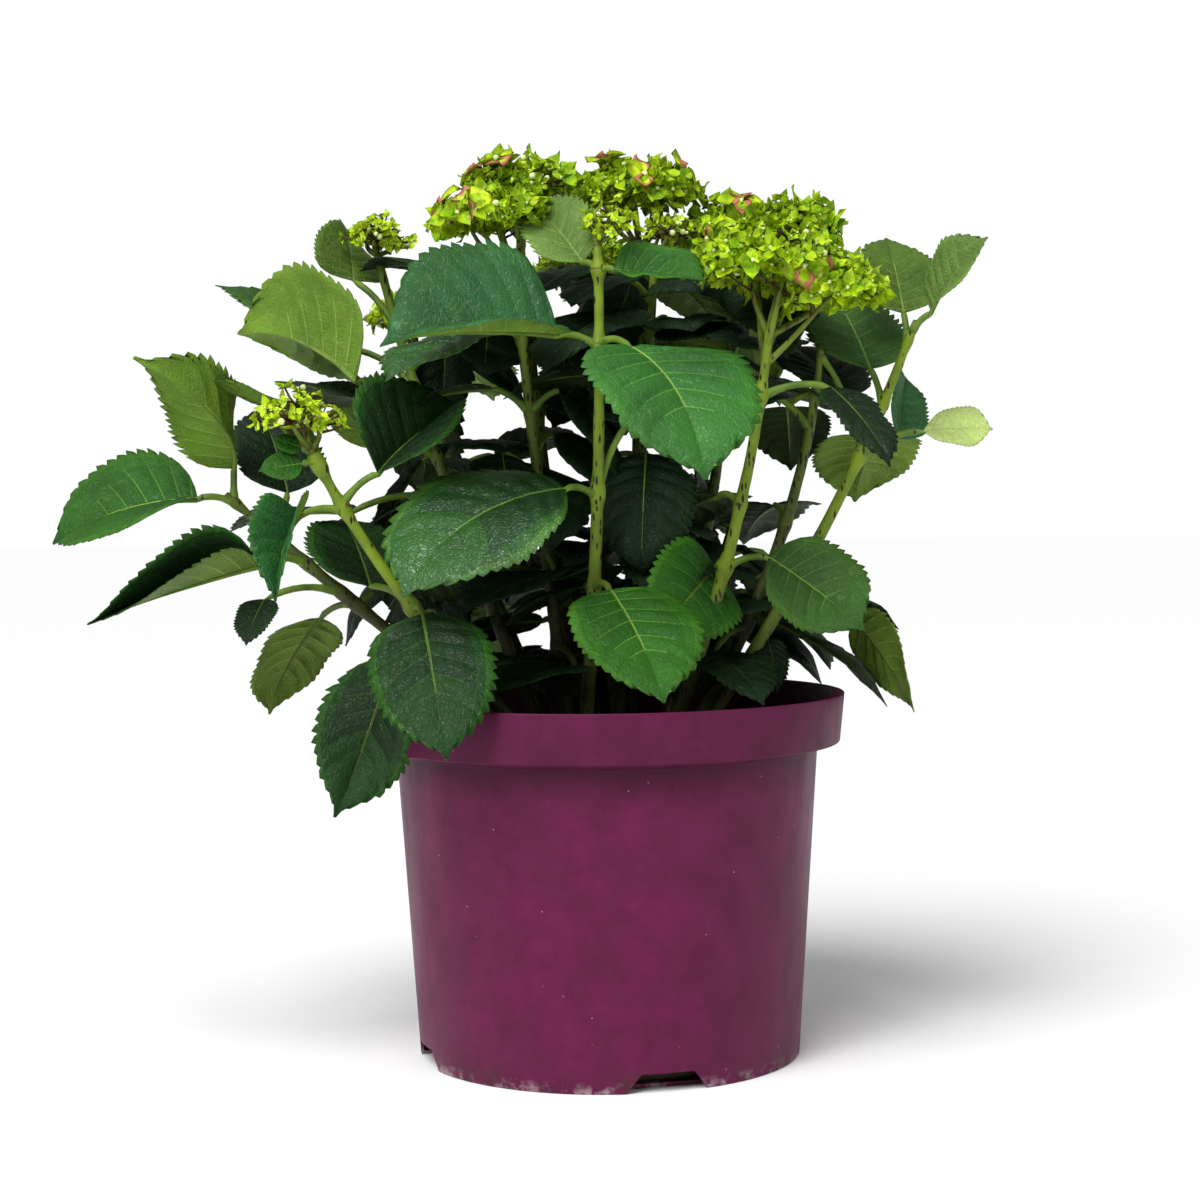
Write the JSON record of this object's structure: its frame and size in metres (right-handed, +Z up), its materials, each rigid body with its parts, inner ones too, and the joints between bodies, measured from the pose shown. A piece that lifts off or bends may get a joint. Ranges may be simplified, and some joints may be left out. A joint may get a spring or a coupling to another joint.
{
  "type": "potted hydrangea shrub",
  "caption": "Leafy mophead hydrangea with green flower heads on slender canes, in a round tapered nursery pot filled with compost.",
  "frame": {"origin": "centre of the pot's flat underside", "axes": "+Z up, -Y the shrub's front, +X its right side seen from the front"},
  "size_m": [0.4501, 0.3124, 0.4445],
  "materials": {
    "pot": "satin plum purple polypropylene",
    "compost": "dark moist bark and peat compost",
    "cane": "yellow-green young bark with small dark flecks",
    "leaf": "satin dark green leaves, paler beneath",
    "flower": "matt lime green sepals"
  },
  "bodies": {
    "root": {"back_centre_cane": "cane", "back_centre_flower_head": "flower", "back_centre_foliage": "leaf", "back_left_centre_cane": "cane", "back_left_centre_flower_head": "flower", "back_left_centre_foliage": "leaf", "back_left_low_cane": "cane", "back_left_low_flower_head": "flower", "back_left_low_foliage": "leaf", "back_right_cane": "cane", "back_right_centre_cane": "cane", "back_right_centre_flower_head": "flower", "back_right_centre_foliage": "leaf", "back_right_flower_head": "flower", "back_right_foliage": "leaf", "back_right_low_cane": "cane", "back_right_low_foliage": "leaf", "centre_cane": "cane", "centre_flower_head": "flower", "centre_foliage": "leaf", "compost": "compost", "far_left_cane": "cane", "far_left_foliage": "leaf", "front_cane": "cane", "front_flower_head": "flower", "front_foliage": "leaf", "front_left_cane": "cane", "front_left_flower_head": "flower", "front_left_foliage": "leaf", "front_right_cane": "cane", "front_right_flower_head": "flower", "front_right_foliage": "leaf", "mid_left_cane": "cane", "mid_left_flower_head": "flower", "mid_left_foliage": "leaf", "mid_right_cane": "cane", "mid_right_foliage": "leaf", "pot": "pot", "right_cane": "cane", "right_foliage": "leaf", "upper_left_cane": "cane", "upper_left_flower_head": "flower", "upper_left_foliage": "leaf"}
  },
  "joints": []
}
